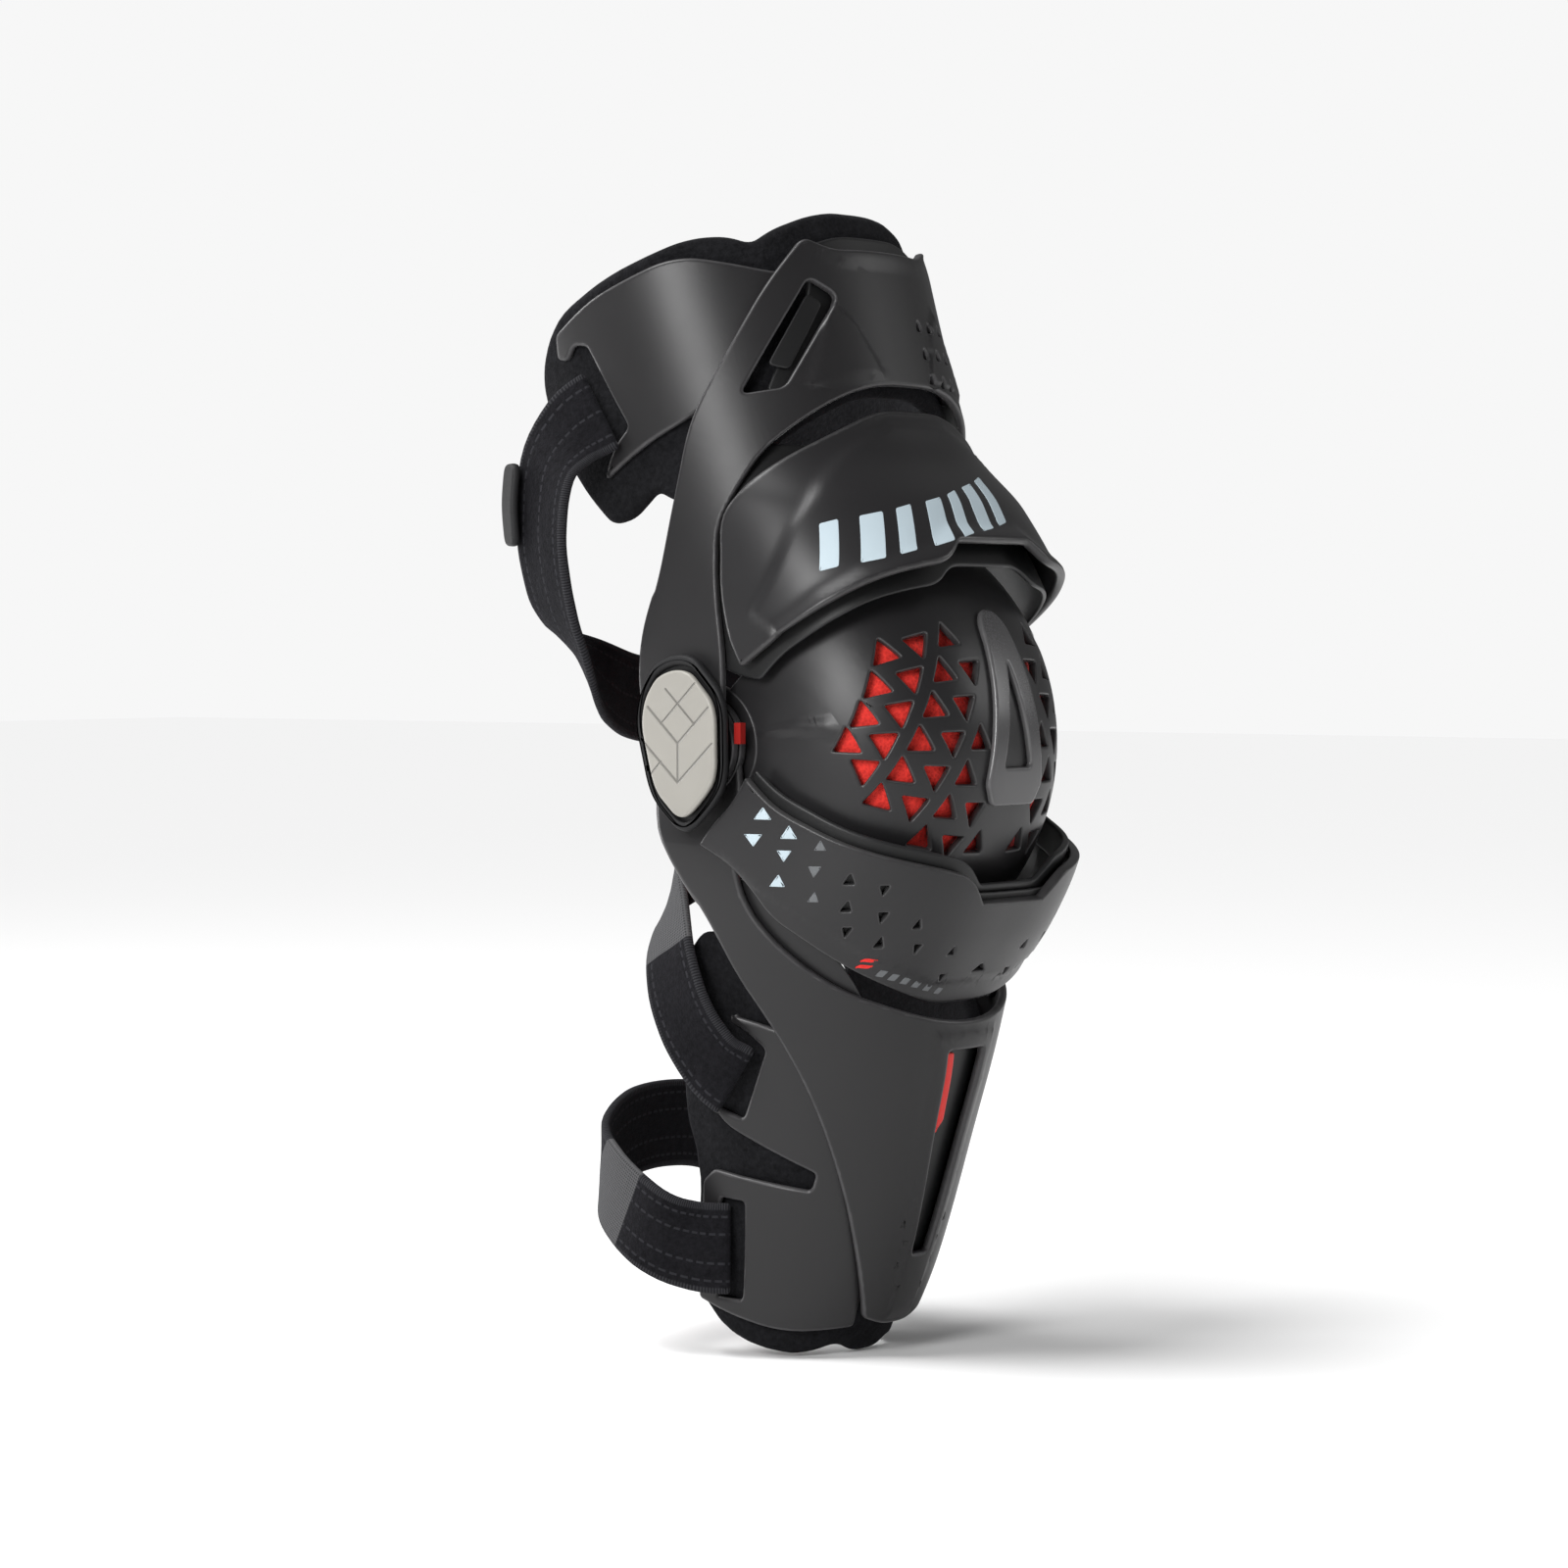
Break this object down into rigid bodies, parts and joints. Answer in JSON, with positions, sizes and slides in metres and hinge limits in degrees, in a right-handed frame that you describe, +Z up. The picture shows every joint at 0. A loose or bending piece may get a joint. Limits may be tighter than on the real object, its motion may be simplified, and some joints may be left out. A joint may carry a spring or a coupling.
{
  "type": "knee guard",
  "caption": "Hinged motorcycle knee guard: a thigh cuff and a shin cuff joined by side pivots, a perforated domed knee cup, overlapping shields, padded liners and straps.",
  "frame": {"origin": "centre of the knee, on the hinge axis midway between the two side pivots", "axes": "+X along the hinge axis, -Y the way the wearer faces, +Z up"},
  "size_m": [0.1778, 0.1591, 0.3904],
  "materials": {
    "charcoal_plastic": "satin moulded",
    "black_plastic": "satin",
    "rubber": "matt",
    "grey_plastic": "satin",
    "steel": "brushed",
    "red_plastic": "satin",
    "red_foam": "open foam",
    "liner_fabric": "brushed knit",
    "strap_fabric": "looped fleece webbing"
  },
  "bodies": {
    "thigh": {"thigh_frame": "charcoal_plastic", "slot_plate": "black_plastic", "thigh_wing_left": "charcoal_plastic", "thigh_wing_right": "charcoal_plastic", "thigh_liner_carrier": "black_plastic", "thigh_liner": "liner_fabric", "upper_knee_shield": "charcoal_plastic", "upper_shield_lip": "black_plastic", "pivot_pin_left": "steel", "pivot_pin_right": "steel", "hinge_housing_left": "black_plastic", "hinge_housing_right": "black_plastic", "hinge_bezel_left": "rubber", "hinge_bezel_right": "rubber", "hinge_cover_left": "grey_plastic", "hinge_cover_right": "grey_plastic", "condyle_pad_left": "liner_fabric", "condyle_pad_right": "liner_fabric", "extension_stop_left": "red_plastic", "extension_stop_right": "red_plastic", "thigh_strap": "strap_fabric", "thigh_strap_tab": "rubber"},
    "cup": {"knee_cup": "charcoal_plastic", "cup_foam": "red_foam", "cup_emblem": "charcoal_plastic"},
    "shin": {"shin_frame": "charcoal_plastic", "shin_wing_left": "charcoal_plastic", "shin_wing_right": "charcoal_plastic", "shin_window_back": "black_plastic", "shin_backing_left": "charcoal_plastic", "shin_backing_right": "charcoal_plastic", "shin_window_insert": "red_plastic", "shin_liner": "liner_fabric", "lower_knee_shield": "charcoal_plastic", "lower_shield_lip": "black_plastic", "calf_strap_upper": "strap_fabric", "calf_strap_upper_tab": "rubber", "calf_strap_lower": "strap_fabric"}
  },
  "joints": [
    {"name": "knee_flexion", "type": "hinge", "parent": "thigh", "child": "shin", "pos_m": [0, 0, 0], "axis": [1, 0, 0], "range_deg": [-20, 90], "deforming": ["thigh_strap", "thigh_strap_tab", "calf_strap_upper", "calf_strap_upper_tab"]},
    {"name": "cup_follow", "type": "hinge", "parent": "thigh", "child": "cup", "pos_m": [0, 0, 0], "axis": [1, 0, 0], "range_deg": [-10, 45]}
  ],
  "couplings": [
    {"joint": "cup_follow", "follows": "knee_flexion", "ratio": 0.5}
  ]
}
